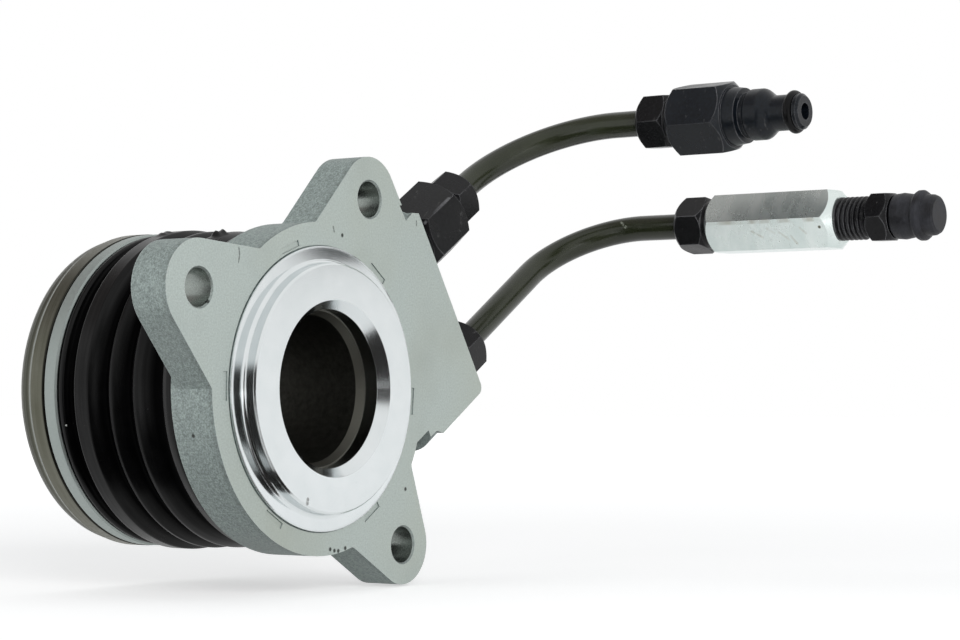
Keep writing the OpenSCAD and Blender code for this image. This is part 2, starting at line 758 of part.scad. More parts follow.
module bearing_clip() {
    gap_half = 12;
    in_r = piston_tail_r - clip_groove + thread_gap;
    color("dimgray") to_row() translate([0, 0, -inner_ring_back - clip_t + thread_gap])
        rotate([0, 0, gap_half])
            rotate_extrude(angle = 360 - 2 * gap_half)
                translate([in_r, 0]) square([clip_groove + clip_out, clip_t - 2 * thread_gap]);
}

module feed_adapter() {
    stub_l = port_thread_l - 1;
    color("#232323") to_row() difference() {
        at_port(feed_side, port_face) union() {
            translate([0, 0, adapter_collar_t]) hex_bar(adapter_af, adapter_hex_l, adapter_turn);
            cylinder(r = adapter_af / 2 - 2 * hex_face_step, h = adapter_collar_t + over);
            translate([0, 0, -stub_l]) cylinder(r = port_thread_r - thread_gap, h = stub_l + over);
        }
        at_port(feed_side, adapter_end - nut_thread_l - 1)
            cylinder(r = port_thread_r, h = nut_thread_l + 1 + over);
        at_port(feed_side, port_face - stub_l - over) cylinder(d = pipe_bore_d, h = stub_l + adapter_hex_l);
    }
}

module feed_nut_inner() {
    color("#1c1c1c") to_row() at_port(feed_side, adapter_end + nut_seat) tube_nut(nut_turns[0]);
}

module feed_pipe() {
    start = adapter_end - nut_thread_l;
    color("#34372b") to_row()
        bent_pipe(feed_side, start, feed_turn_start, feed_bend_r, connector_start + nut_thread_l);
}

module feed_nut_outer() {
    color("#1c1c1c") to_row() at_far(feed_side, feed_reach, connector_start - nut_seat)
        mirror([0, 0, 1]) tube_nut(nut_turns[1]);
}

module quick_connector() {
    hole_end = connector_hex_l + connector_nose_l;
    root_r = connector_nose_r + 0.7;
    root_back = connector_hex_l + connector_root_l;
    groove_r = connector_nose_r - 0.6;
    barrel = root_back + connector_groove_w;
    taper = barrel + connector_barrel_l;
    drop = connector_nose_r - connector_neck_r;
    edge = 0.3;
    seal_in_r = connector_seal_place_r() - connector_seal_d / 2;
    seal_z = connector_seal_z();
    half = connector_seal_d / 2 + 0.1;
    color("#1e1e1f") to_row() at_far(feed_side, feed_reach, connector_start) difference() {
        union() {
            hex_bar(connector_af, connector_hex_l, connector_turn);
            rotate_extrude() polygon([
                [0, connector_hex_l - over], [root_r, connector_hex_l - over],
                [root_r, connector_hex_l + 2 * edge], [root_r - edge, root_back - edge],
                [groove_r, root_back], [groove_r, barrel],
                [connector_nose_r - edge, barrel], [connector_nose_r, barrel + 2 * edge],
                for (a = [0:15:180])
                    [connector_neck_r + drop * (1 + cos(a)) / 2, taper + connector_taper_l * a / 180],
                [connector_neck_r, seal_z - half], [seal_in_r, seal_z - half],
                [seal_in_r, seal_z + half], [connector_neck_r, seal_z + half],
                [connector_neck_r, hole_end - 0.5], [connector_neck_r - 0.5, hole_end], [0, hole_end]
            ]);
        }
        translate([0, 0, -over]) cylinder(r = port_thread_r, h = nut_thread_l + 1 + over);
        cylinder(r = connector_hole_r, h = hole_end + over);
    }
}

function connector_seal_place_r() = connector_neck_r - 0.1;
function connector_seal_z() = connector_hex_l + connector_nose_l - 1.3 * connector_seal_d;

module connector_seal() {
    color("black") to_row() at_far(feed_side, feed_reach, connector_start + connector_seal_z())
        rotate_extrude() translate([connector_seal_place_r(), 0]) circle(d = connector_seal_d, $fn = 32);
}

module bleed_nut_inner() {
    color("#1c1c1c") to_row() at_port(bleed_side, port_face + nut_seat) tube_nut(nut_turns[2]);
}

module bleed_pipe() {
    start = port_face - nut_thread_l;
    color("#34372b") to_row()
        bent_pipe(bleed_side, start, bleed_turn_start, bleed_bend_r, bleed_start + nut_thread_l);
}

module bleed_nut_outer() {
    color("#1c1c1c") to_row() at_far(bleed_side, bleed_reach, bleed_start - nut_seat)
        mirror([0, 0, 1]) tube_nut(nut_turns[3]);
}

module bleed_adapter() {
    color("whitesmoke") to_row() at_far(bleed_side, bleed_reach, bleed_start) difference() {
        hex_bar(bleed_af, bleed_l, bleed_turn, bleed_end_step);
        translate([0, 0, -over]) cylinder(r = port_thread_r, h = nut_thread_l + 1 + over);
        cylinder(r = connector_hole_r, h = bleed_l);
        translate([0, 0, bleed_l - screw_thread_in - 1])
            cylinder(r = screw_thread_r, h = screw_thread_in + 1 + over);
    }
}

module bleed_screw() {
    seat_l = 2.5;
    barb = 0.5;
    core_r = screw_thread_r - piston_slip - screw_thread_depth;
    color("#1a1a1a") to_row() at_far(bleed_side, bleed_reach, screw_place) difference() {
        union() {
            rotate_extrude() polygon([
                [0, -screw_thread_in], [bleed_hole_r + 0.6, -screw_thread_in],
                [screw_thread_r - piston_slip, -screw_thread_in + seat_l],
                [screw_thread_r - piston_slip, 0], [core_r, screw_thread_depth],
                [core_r, screw_thread_out + over], [0, screw_thread_out + over]
            ]);
            translate([0, 0, screw_thread_out]) hex_bar(screw_af, screw_hex_l, screw_turn);
            translate([0, 0, screw_thread_out + screw_hex_l - over]) rotate_extrude() polygon([
                [0, 0], [nipple_r - barb, 0], [nipple_r - barb, nipple_l / 2],
                [nipple_r, nipple_l / 2 + 0.4], [nipple_r - barb, nipple_l + over], [0, nipple_l + over]
            ]);
        }
        translate([0, 0, -screw_thread_in + seat_l])
            cylinder(r = bleed_hole_r, h = screw_thread_in + screw_thread_out + screw_hex_l + nipple_l);
    }
}

module dust_cap() {
    rib = cap_l * 0.62;
    rib_r = cap_r + cap_rib_h;
    rib_half = 2 * cap_rib_h;
    edge = cap_wall / 4;
    color("#151516") to_row() at_far(bleed_side, bleed_reach, cap_place) rotate_extrude() polygon([
        [cap_bore_r, 0], [cap_r - edge, 0], [cap_r, edge], [cap_r + edge / 2, rib / 3],
        [cap_r, rib / 2], [cap_r - edge, rib - rib_half],
        [rib_r - cap_rib_h / 2, rib - 0.8 * rib_half], [rib_r, rib - 0.4 * rib_half],
        [rib_r, rib + 0.3 * rib_half],
        [rib_r - 0.6 * cap_rib_h, rib + 0.7 * rib_half], [cap_r - edge, rib + rib_half],
        [cap_r - 1.4 * edge, cap_l - 3 * edge], [cap_r - 2.4 * edge, cap_l - edge], [cap_r - 4 * edge, cap_l],
        [0, cap_l],
        [0, cap_l - cap_end_t + cap_gap], [cap_bore_r, cap_l - cap_end_t + cap_gap]
    ]);
}

housing();
pilot_ring();
guide_tube();
guide_tube_seal();
piston();
piston_seal();
preload_spring();
boot();
bearing_carrier();
bearing_inner_ring();
bearing_outer_ring();
bearing_balls();
bearing_cage();
bearing_shield();
bearing_clip();
feed_adapter();
feed_nut_inner();
feed_pipe();
feed_nut_outer();
quick_connector();
connector_seal();
bleed_nut_inner();
bleed_pipe();
bleed_nut_outer();
bleed_adapter();
bleed_screw();
dust_cap();
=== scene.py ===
"""Looks of a concentric slave cylinder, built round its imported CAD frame.

The row frame has the cylinder axis along +Y (release direction), the mounting face in the plane y = 0,
and +Z up. Lengths are in metres, and the places of marks are written in millimetres.
"""

import json
import math

import bmesh
import bpy
from mathutils import Matrix, Vector


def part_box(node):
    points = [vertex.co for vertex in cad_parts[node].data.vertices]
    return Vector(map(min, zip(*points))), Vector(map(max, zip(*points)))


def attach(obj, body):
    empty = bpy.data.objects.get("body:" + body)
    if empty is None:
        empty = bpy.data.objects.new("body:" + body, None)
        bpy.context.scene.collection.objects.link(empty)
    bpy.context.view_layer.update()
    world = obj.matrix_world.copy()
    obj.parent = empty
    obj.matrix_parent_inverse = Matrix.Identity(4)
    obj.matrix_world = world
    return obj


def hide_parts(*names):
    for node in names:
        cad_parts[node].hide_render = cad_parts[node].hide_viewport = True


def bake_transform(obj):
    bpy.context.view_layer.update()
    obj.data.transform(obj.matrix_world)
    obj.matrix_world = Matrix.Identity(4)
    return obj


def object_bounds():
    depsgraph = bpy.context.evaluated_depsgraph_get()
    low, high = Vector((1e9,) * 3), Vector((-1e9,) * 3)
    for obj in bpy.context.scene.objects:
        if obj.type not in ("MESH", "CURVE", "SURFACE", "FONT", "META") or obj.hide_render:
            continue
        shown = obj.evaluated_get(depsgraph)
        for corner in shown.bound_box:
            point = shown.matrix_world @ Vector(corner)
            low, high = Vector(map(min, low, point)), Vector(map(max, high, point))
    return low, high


MM = 0.001


def point(x, y, z):
    """A place given in millimetres."""
    return Vector((x, y, z)) * MM


def line(start, stop):
    """A straight mark between two places given in millimetres."""
    return point(*start), point(*stop)


# Camera, as fitted to the photo's circles: place, axes and lens
CAMERA_PLACE = Vector((-0.359526, -0.289618, -0.001160))
CAMERA_RIGHT = Vector((0.579249, -0.815144, -0.003184))
CAMERA_UP = Vector((-0.021596, -0.019251, 0.999581))
CAMERA_LENS = 97.5
CAMERA_CLIP = 0.01
SENSOR_WIDTH = 36.0

# Marks on the casting: pits, scored lines and the axes of the drilled bolt holes
PITS = [point(*place) for place in (
    (-30.5, 0.3, 14.7), (24.2, 0, -18.5), (5.6, 0, 27.5), (-28.5, 5.2, -8.0),
    (2.0, 0, -28.5), (3.2, 0, -28.8), (4.3, 0, -28.9), (6.3, 0, -28.5))]
PIT_R = 0.45 * MM
SCORES = [line(*ends) for ends in (
    ((-22.7, 0, 24.0), (-22.5, 0, 22.8)), ((-22.5, 0, 22.8), (-22.8, 0, 21.6)),
    ((3.0, 0, 28.9), (3.3, 0, 28.0)), ((27.8, 0, 31.2), (27.8, 0, 30.4)))]
SCORE_W = 0.22 * MM
BOLT_AXES = [line((x, -5.0, z), (x, 15.0, z)) for x, z in ((-32.9, 17.0), (13.6, 34.4), (23.3, -28.7))]

# Marks on the other pieces, and edges that are rubbed on several
WORN_EDGE_R = 0.3 * MM
RING_STAINS = [point(-8.2, -3.0, -19.9), point(-8.1, -3.0, -19.3)]
RING_STAIN_R = 0.5 * MM
BOOT_SPECKS = [point(-27.5, 36.0, -6.3)]
BOOT_SPECK_R = 0.25 * MM
ADAPTER_PITS = [point(84.3, -54.2, 30.8)]
ADAPTER_PIT_R = 0.4 * MM
ADAPTER_RIDGE = [line((83.5, -29.0, 32.4), (83.6, -54.0, 32.3))]
ADAPTER_RIDGE_W = 0.6 * MM
ADAPTER_SMEARS = [line(*ends) for ends in (
    ((84.3, -42.8, 31.0), (84.9, -44.2, 30.1)), ((84.8, -45.2, 30.2), (85.6, -47.1, 28.7)),
    ((85.2, -47.6, 29.4), (86.0, -48.5, 28.0)), ((84.4, -50.0, 30.8), (85.0, -51.0, 29.8)),
    ((84.6, -39.3, 30.6), (85.2, -41.4, 29.4)), ((84.9, -43.1, 35.4), (84.8, -43.9, 35.1)))]
ADAPTER_SMEAR_W = 0.35 * MM
WORN_RIDGE = [line((31.0, 0.6, 30.9), (38.5, 0.3, 36.2))]
WORN_RIDGE_W = 0.4 * MM
PIPE_SCRATCHES = [line((87.3, -7.4, 33.9), (87.0, -8.8, 32.6))]
PIPE_SCRATCH_W = 0.3 * MM

# Where a finish changes: where it starts, and where it is full
BURR_Y = (1.5 * MM, 0.5 * MM)
BOLT_WALL_R = (3.68 * MM, 3.44 * MM)
RING_MOUTH_R = (18.5 * MM, 18.0 * MM)
RING_FACE_R = (22.2 * MM, 22.0 * MM)
RING_FOOT_R = (24.1 * MM, 24.4 * MM)
BOOT_SHEEN_R = (27.2 * MM, 28.3 * MM)
BEARING_SEAM_Y = (40.75 * MM, 40.5 * MM)

# The bearing's shoulder, along whose step a painted highlight runs: both its ends along y
BEARING_SHOULDER_Y = (43.3 * MM, 44.3 * MM)

# Bellows, made here in place of the CAD boot
BOOT_VALLEY_R = 27.0 * MM
BOOT_BAND_R = 28.6 * MM
BOOT_SEAT_R = BOOT_VALLEY_R - 0.75 * MM
BOOT_WALL = 1.0 * MM
BOOT_FRONT_W = 3.6 * MM
BOOT_FRONT_FLAT = 1.2 * MM
BOOT_REAR_W = 1.7 * MM
BOOT_REAR_FLAT = 0.8 * MM
BOOT_EDGE = 0.4 * MM
BOOT_EDGE_CUT = 0.12 * MM
BOOT_BAND_STEP = 0.3 * MM
BOOT_BAND_END = 0.88 * MM
BOOT_BAND_FOOT = 0.56 * MM
BOOT_ROLL_H = 0.5 * MM
BOOT_ROLL_W = 0.65 * MM
BOOT_ROLL_PLACE = 0.85 * MM
BOOT_ROLL_STEPS = 5
BOOT_LIP = 0.2 * MM
BOOT_STEPS = 12
BOOT_SEGMENTS = 400
# Folds from flange to bearing: share of the boot's length, then height and half the flat top in mm
BOOT_FOLDS = ((0.335, 1.6, 0.2), (0.53, 1.8, 0.2), (0.77, 2.2, 1.5))
# Stubs of mould flash on the folds: angle in degrees, then place along y, half width and height in mm
BOOT_NIBS = ((104.9, 30.8, 1.7, 0.5), (103.2, 18.7, 1.8, 0.9))
BOOT_NIB_FROM = 28.4 * MM
BOOT_NIB_LONG = 1.2 * MM

# Coil spring, made here in place of the CAD preload_spring
SPRING_TURNS = 4.5
SPRING_WIRE_R = 1.15 * MM
SPRING_SIDES = 10
SPRING_RINGS_PER_TURN = 40

# Thread on the bleed screw; a flank takes that share of the pitch
THREAD_PITCH = 1.0 * MM
THREAD_CREST_R = 4.2 * MM
THREAD_ROOT_R = 3.6 * MM
THREAD_LENGTH = 5.9 * MM
THREAD_FLANK = 0.4
THREAD_SIDES = 64
THREAD_ROWS = 72
THREAD_END_ROWS = 8

# Soft boxes, each with its name, place, size and power in watts, and a weak fill from the surround
LAMPS = (
    ("key_box", (-0.6, -0.85, 0.3), (0.7, 0.5), 10.0),
    ("top_box", (0.1, 0.3, 0.95), (0.8, 0.6), 1.4),
    ("side_box", (-0.95, 0.1, 0.15), (0.5, 0.6), 2.1),
)
LAMP_TARGET = (0.0, 0.01, 0.0)
FILL_COLOR = (0.95, 0.98, 1.0, 1)
FILL_STRENGTH = 0.3

# Corners of a flat sheet, in units of half its sides
SHEET_CORNERS = ((-1, -1), (1, -1), (1, 1), (-1, 1))

# Floor, whose glow goes from the first to the second value over the distances in FLOOR_GLOW_REACH
FLOOR_HALF = 3.0
FLOOR_GAP = 0.4 * MM
FLOOR_TONE = 0.72
FLOOR_GLOW = (0.52, 0.9)
FLOOR_GLOW_REACH = (0.15, 1.0)

# Painted reflections, seen only in mirror rays, of dark strips for the ring's foot and mouth: name, start on
# the floor, direction, half width
STRIPS = (
    ("foot", (-0.01, -0.01), (-0.815, -0.579, 0), 0.085),
    ("mouth", (0.0, -0.04), (-0.7, -0.714, 0), 0.035),
)
STRIP_LENGTH = 0.74
STRIP_LIFT = 0.2 * MM
STRIP_REFLECTION_TONE = 0.025
STRIP_RIM = 0.97
UPRIGHT_HEIGHT = 0.28
UPRIGHT_SPREAD = 2.5
UPRIGHT_RIM = 0.5

# Painted reflection, seen only in mirror rays, of a grey roof over the top of bright metal: its centre, and
# half its two sides
ROOF_CENTRE = (-0.25, 0.6, 0.6)
ROOF_SIDE = (0.5, 0, 0)
ROOF_RISE = (0, 0.45, 0)
ROOF_REFLECTION_TONE = 0.4
ROOF_RIM = 0.6

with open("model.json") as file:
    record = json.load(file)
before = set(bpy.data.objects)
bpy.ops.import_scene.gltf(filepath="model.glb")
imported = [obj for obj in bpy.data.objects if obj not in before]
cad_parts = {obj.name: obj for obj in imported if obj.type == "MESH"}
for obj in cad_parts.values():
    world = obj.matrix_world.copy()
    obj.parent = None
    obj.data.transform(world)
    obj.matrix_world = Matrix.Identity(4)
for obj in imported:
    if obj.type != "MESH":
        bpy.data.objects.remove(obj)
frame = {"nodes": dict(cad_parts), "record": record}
cad_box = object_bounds()


class Look:
    """A material being made: one Principled shader, and short ways to add nodes to it."""

    def __init__(self, name, **values):
        self.material = bpy.data.materials.new(name)
        self.material.use_nodes = True
        self.tree = self.material.node_tree
        self.shader = self.tree.nodes["Principled BSDF"]
        self.place = self.tree.nodes.new("ShaderNodeTexCoord").outputs["Object"]
        self.geometry = self.tree.nodes.new("ShaderNodeNewGeometry")
        self.shade(**values)

    def feed(self, source, socket):
        """Links a node's output, or sets a plain value."""
        if isinstance(source, bpy.types.NodeSocket):
            self.tree.links.new(source, socket)
        else:
            socket.default_value = source

    def shade(self, **sources):
        """Feeds the shader's own sockets, named with _ for each space."""
        for socket, source in sources.items():
            self.feed(source, self.shader.inputs[socket.replace("_", " ")])

    def noise(self, scale, detail, roughness=0.55, stretch=(1, 1, 1)):
        """Noise in object space; scale counts features per metre."""
        mapping = self.tree.nodes.new("ShaderNodeMapping")
        mapping.inputs["Scale"].default_value = stretch
        self.feed(self.place, mapping.inputs["Vector"])
        texture = self.tree.nodes.new("ShaderNodeTexNoise")
        texture.inputs["Scale"].default_value = scale
        texture.inputs["Detail"].default_value = detail
        texture.inputs["Roughness"].default_value = roughness
        self.feed(mapping.outputs["Vector"], texture.inputs["Vector"])
        return texture.outputs["Fac"]

    def rings(self, scale):
        """Uneven rings round the cylinder axis, as a lathe tool leaves them."""
        texture = self.tree.nodes.new("ShaderNodeTexNoise")
        texture.noise_dimensions = "1D"
        texture.inputs["Scale"].default_value = scale
        self.feed(self.radius(), texture.inputs["W"])
        return texture.outputs["Fac"]

    def cells(self, scale):
        """Distance to the nearest of scattered points."""
        texture = self.tree.nodes.new("ShaderNodeTexVoronoi")
        texture.inputs["Scale"].default_value = scale
        self.feed(self.place, texture.inputs["Vector"])
        return texture.outputs["Distance"]

    def math(self, operation, a, b=0.0):
        """Maths on one or two numbers."""
        node = self.tree.nodes.new("ShaderNodeMath")
        node.operation = operation
        self.feed(a, node.inputs[0])
        self.feed(b, node.inputs[1])
        return node.outputs[0]

    def times(self, a, b):
        """One number times another."""
        return self.math("MULTIPLY", a, b)

    def vector(self, operation, a, b=(0, 0, 0), output="Vector"):
        """Maths on one or two vectors; output is Value where the result is a number."""
        node = self.tree.nodes.new("ShaderNodeVectorMath")
        node.operation = operation
        self.feed(a, node.inputs[0])
        self.feed(b, node.inputs[1])
        return node.outputs[output]

    def split(self, vector):
        """The x, y and z of a vector."""
        node = self.tree.nodes.new("ShaderNodeSeparateXYZ")
        self.feed(vector, node.inputs[0])
        return node.outputs

    def span(self, value, low, high, start=0.0, stop=1.0):
        """Maps low..high to start..stop, held at the ends."""
        node = self.tree.nodes.new("ShaderNodeMapRange")
        self.feed(value, node.inputs["Value"])
        for socket, number in zip(("From Min", "From Max", "To Min", "To Max"), (low, high, start, stop)):
            node.inputs[socket].default_value = number
        return node.outputs["Result"]

    def mix(self, factor, a, b):
        """Colour a where factor is 0, colour b where it is 1."""
        node = self.tree.nodes.new("ShaderNodeMix")
        node.data_type = "RGBA"
        self.feed(factor, node.inputs[0])
        for source, socket in ((a, node.inputs[6]), (b, node.inputs[7])):
            self.feed(source if isinstance(source, bpy.types.NodeSocket) else (*source, 1.0), socket)
        return node.outputs[2]

    def radius(self):
        """Distance from the cylinder axis."""
        x, _, z = self.split(self.place)
        return self.math("SQRT", self.math("ADD", self.times(x, x), self.times(z, z)))

    def depth(self):
        """Place along the cylinder axis."""
        return self.split(self.place)[1]

    def facing(self):
        """How a surface looks along the cylinder axis: -1 on the flange's front, 0 on its sides."""
        return self.split(self.geometry.outputs["Normal"])[1]

    def rounded(self, radius, samples):
        """Normals as they would be with the edges rounded off."""
        bevel = self.tree.nodes.new("ShaderNodeBevel")
        bevel.samples = samples
        self.feed(radius, bevel.inputs["Radius"])
        return bevel.outputs["Normal"]

    def edges(self, radius):
        """1 on edges that a soft round of that radius would touch, 0 on flats."""
        flat = self.geometry.outputs["True Normal"]
        alike = self.vector("DOT_PRODUCT", self.rounded(radius, samples=4), flat, "Value")
        return self.span(alike, 0.98, 0.88)

    def bump(self, height, depth, strength, under=None):
        """Normals from a height field; depth is in metres."""
        node = self.tree.nodes.new("ShaderNodeBump")
        node.inputs["Strength"].default_value = strength
        node.inputs["Distance"].default_value = depth
        self.feed(height, node.inputs["Height"])
        if under is not None:
            self.feed(under, node.inputs["Normal"])
        return node.outputs["Normal"]

    def least(self, values):
        """The least of some numbers."""
        smallest, *rest = values
        for value in rest:
            smallest = self.math("MINIMUM", smallest, value)
        return smallest

    def line_distance(self, lines):
        """Distance to the nearest of some straight lines, each given by its two ends."""
        distances = []
        for start, stop in lines:
            along = stop - start
            lift = self.vector("SUBTRACT", self.place, start)
            shadow = self.vector("DOT_PRODUCT", lift, along, "Value")
            share = self.span(self.math("DIVIDE", shadow, along.length_squared), 0.0, 1.0)
            foot = self.vector("MULTIPLY", along, share)
            distances.append(self.vector("DISTANCE", lift, foot, "Value"))
        return self.least(distances)

    def spots(self, places, radius):
        """1 inside small round marks."""
        apart = self.least([self.vector("DISTANCE", self.place, place, "Value") for place in places])
        return self.span(apart, radius, 0.55 * radius)

    def strokes(self, lines, width):
        """1 along thin straight marks."""
        return self.span(self.line_distance(lines), width, 0.4 * width)

    def around_y(self):
        """Gloss drawn out round the cylinder axis, as turning leaves it."""
        tangent = self.tree.nodes.new("ShaderNodeTangent")
        tangent.direction_type = "RADIAL"
        tangent.axis = "Y"
        self.shade(Tangent=tangent.outputs["Tangent"])


def cast_aluminium():
    """Blasted die casting: pale and fine on the faced front, darker and coarser on the sides."""
    look = Look("cast_aluminium", Specular_IOR_Level=0.3)
    facing = look.facing()
    front = look.span(facing, -0.9, -0.99)
    speckle = look.noise(3000, detail=4, roughness=0.7)
    coarse = look.noise(1300, detail=3, roughness=0.6)
    cloud = look.noise(55, detail=3)
    grit = look.math("ADD", look.times(speckle, 0.78), look.times(coarse, 0.22))

    pale = look.mix(look.span(speckle, 0.32, 0.68), (0.365, 0.41, 0.388), (0.515, 0.576, 0.547))
    dull = look.mix(look.span(grit, 0.38, 0.64), (0.15, 0.178, 0.171), (0.375, 0.44, 0.42))
    burr = look.times(look.span(look.depth(), *BURR_Y), look.span(coarse, 0.46, 0.6, 0.0, 0.55))
    dull = look.mix(burr, dull, (0.085, 0.095, 0.09))
    base = look.mix(front, dull, pale)
    stain = look.span(cloud, 0.5, 0.75, 0.0, 0.3)
    base = look.mix(stain, base, (0.29, 0.32, 0.31))
    warm = look.times(front, look.span(look.noise(30, detail=2), 0.45, 0.7, 0.0, 0.4))
    base = look.mix(warm, base, (0.43, 0.455, 0.38))

    near_hole = look.span(look.line_distance(BOLT_AXES), *BOLT_WALL_R)
    drilled = look.times(near_hole, look.span(facing, -0.9, -0.5))
    base = look.mix(drilled, base, (0.30, 0.33, 0.31))
    rim = look.times(look.edges(WORN_EDGE_R), look.span(coarse, 0.4, 0.6, 0.0, 0.5))
    base = look.mix(rim, base, (0.52, 0.55, 0.535))
    scores = look.times(look.strokes(SCORES, SCORE_W), look.span(speckle, 0.3, 0.55))
    marks = look.math("MAXIMUM", look.spots(PITS, PIT_R), look.times(scores, 0.75))

    rough = look.span(speckle, 0.3, 0.7, 0.5, 0.65)
    deep = look.math("SUBTRACT", look.span(front, 0.0, 1.0, 1.0, 0.35), look.times(drilled, 0.85))
    relief = look.math("SUBTRACT", look.times(grit, deep), look.times(marks, 1.5))
    look.shade(
        Base_Color=look.mix(marks, base, (0.05, 0.055, 0.05)),
        Metallic=look.span(drilled, 0.0, 1.0, 0.3, 0.95),
        Roughness=look.math("SUBTRACT", rough, look.times(drilled, 0.28)),
        Normal=look.bump(relief, 0.14 * MM, 0.55, look.bump(cloud, 0.3 * MM, 0.15)),
    )
    return look.material


def turned_aluminium():
    """Bright lathe-turned ring with fine tool lines."""
    look = Look("turned_aluminium", Metallic=1.0, Anisotropic=0.6)
    look.around_y()
    radius = look.radius()
    facing = look.facing()
    lines = look.rings(9000)
    coarse = look.noise(260, detail=2)
    fine = look.noise(1500, detail=3)
    base = look.mix(look.span(coarse, 0.3, 0.7), (0.69, 0.728, 0.735), (0.725, 0.758, 0.765))
    stain = look.times(look.spots(RING_STAINS, RING_STAIN_R), look.span(fine, 0.35, 0.55, 0.3, 0.9))
    mouth = look.times(look.span(radius, *RING_MOUTH_R), look.span(facing, -0.95, -0.85))
    face = look.times(look.span(radius, *RING_FACE_R), look.span(facing, -0.95, -0.99))
    rough = look.math("ADD", look.span(lines, 0.3, 0.7, 0.1, 0.14), look.span(fine, 0.62, 0.8, 0.0, 0.06))
    duller = look.math("ADD", look.times(mouth, 0.04), look.times(face, 0.1))
    soft = look.rounded(look.span(radius, *RING_FOOT_R, 0.15 * MM, 0.55 * MM), samples=6)
    look.shade(
        Base_Color=look.mix(stain, base, (0.13, 0.13, 0.12)),
        Roughness=look.math("ADD", rough, duller),
        Normal=look.bump(lines, 0.003 * MM, 0.2, soft),
    )
    return look.material


def steel(name, dark, light, rough, grain=900):
    """Bare or plated steel with small stains."""
    look = Look(name, Metallic=1.0)
    spots = look.noise(grain, detail=4, roughness=0.65)
    cloud = look.noise(90, detail=2)
    blend = look.times(look.span(spots, 0.3, 0.7), look.span(cloud, 0.2, 0.8, 0.5, 1.0))
    look.shade(
        Base_Color=look.mix(blend, dark, light),
        Roughness=look.span(spots, 0.3, 0.7, rough, rough + 0.14),
        Normal=look.bump(spots, 0.02 * MM, 0.3),
    )
    return look.material


def bearing_steel():
    """Turned bearing ring: brownish oil film, with a painted highlight on its shoulder and painted shade on
    the rounding past it.
    """
    look = Look("bearing_steel", Metallic=1.0, Anisotropic=0.5)
    look.around_y()
    y = look.depth()
    cloud = look.noise(90, detail=3)
    fine = look.noise(1500, detail=3)
    lines = look.noise(1.0, detail=4, stretch=(60, 2600, 60))
    low, high = BEARING_SHOULDER_Y
    base = look.mix(look.span(cloud, 0.3, 0.7), (0.098, 0.098, 0.074), (0.135, 0.135, 0.108))
    base = look.mix(look.span(lines, 0.45, 0.7, 0.0, 0.35), base, (0.20, 0.20, 0.17))
    # Painted highlight: a pale band along the shoulder's step
    shoulder_highlight = look.times(look.span(y, low, low + 0.3 * MM), look.span(y, high, high - 0.4 * MM))
    base = look.mix(look.times(shoulder_highlight, 0.7), base, (0.27, 0.29, 0.27))
    # Painted shade: darker on the rear rounding past the shoulder
    base = look.mix(look.span(y, high - 0.2 * MM, high + 0.3 * MM, 0.0, 0.75), base, (0.05, 0.052, 0.04))
    look.shade(
        Base_Color=look.mix(look.span(y, *BEARING_SEAM_Y), base, (0.03, 0.03, 0.025)),
        Roughness=look.span(fine, 0.3, 0.7, 0.32, 0.44),
        Normal=look.bump(fine, 0.015 * MM, 0.3),
    )
    return look.material


def dark_tube():
    """Dark sleeve with a paler bevelled mouth."""
    look = Look("dark_tube", Metallic=0.8)
    fine = look.noise(900, detail=4, roughness=0.65)
    mouth = look.span(look.facing(), -0.2, -0.4)
    base = look.mix(look.span(fine, 0.3, 0.7), (0.02, 0.02, 0.016), (0.045, 0.044, 0.038))
    look.shade(
        Base_Color=look.mix(mouth, base, (0.1, 0.097, 0.083)),
        Roughness=look.span(mouth, 0.0, 1.0, 0.34, 0.4),
        Normal=look.bump(fine, 0.02 * MM, 0.3),
    )
    return look.material


def zinc_plate():
    """Bright zinc plate with water stains, rubbed along the ridges."""
    look = Look("zinc_steel", Metallic=0.9)
    streak = look.noise(260, detail=2, stretch=(0.4, 1, 0.4))
    spots = look.noise(900, detail=4, roughness=0.7)
    cloud = look.noise(120, detail=2)
    dents = look.noise(300, detail=2)
    stain = look.times(look.span(spots, 0.56, 0.7), look.span(cloud, 0.45, 0.6))
    base = look.mix(look.span(streak, 0.3, 0.7), (0.61, 0.69, 0.67), (0.79, 0.85, 0.83))
    base = look.mix(look.times(stain, 0.22), base, (0.36, 0.37, 0.32))
    ridge = look.times(look.edges(WORN_EDGE_R), look.span(spots, 0.4, 0.6, 0.2, 1.0))
    base = look.mix(look.times(ridge, 0.7), base, (0.80, 0.83, 0.82))
    soil = look.times(look.strokes(ADAPTER_RIDGE, ADAPTER_RIDGE_W), look.span(streak, 0.5, 0.68, 0.0, 0.55))
    base = look.mix(soil, base, (0.30, 0.27, 0.20))
    smear = look.times(look.strokes(ADAPTER_SMEARS, ADAPTER_SMEAR_W), look.span(spots, 0.4, 0.6, 0.1, 0.5))
    base = look.mix(smear, base, (0.44, 0.43, 0.36))
    pit = look.spots(ADAPTER_PITS, ADAPTER_PIT_R)
    look.shade(
        Base_Color=look.mix(pit, base, (0.12, 0.12, 0.09)),
        Roughness=look.math("ADD", look.span(streak, 0.3, 0.7, 0.22, 0.3), look.times(stain, 0.08)),
        Normal=look.bump(look.math("SUBTRACT", dents, pit), 0.03 * MM, 0.1),
    )
    return look.material


def seal_rubber():
    """Moulded black rubber with a faint bloom and a little dust."""
    look = Look("rubber", Specular_IOR_Level=0.16)
    bloom = look.noise(120, detail=4, roughness=0.6)
    dust = look.span(look.cells(330), 0.055, 0.03, 0.0, 0.25)
    haze = look.span(bloom, 0.45, 0.8, 0.0, 0.4)
    base = look.mix(haze, (0.0012, 0.0012, 0.0014), (0.0036, 0.0036, 0.0042))
    look.shade(
        Base_Color=look.mix(dust, base, (0.10, 0.10, 0.10)),
        Roughness=look.span(bloom, 0.3, 0.7, 0.3, 0.42),
        Normal=look.bump(look.noise(2200, detail=2), 0.03 * MM, 0.25),
    )
    return look.material


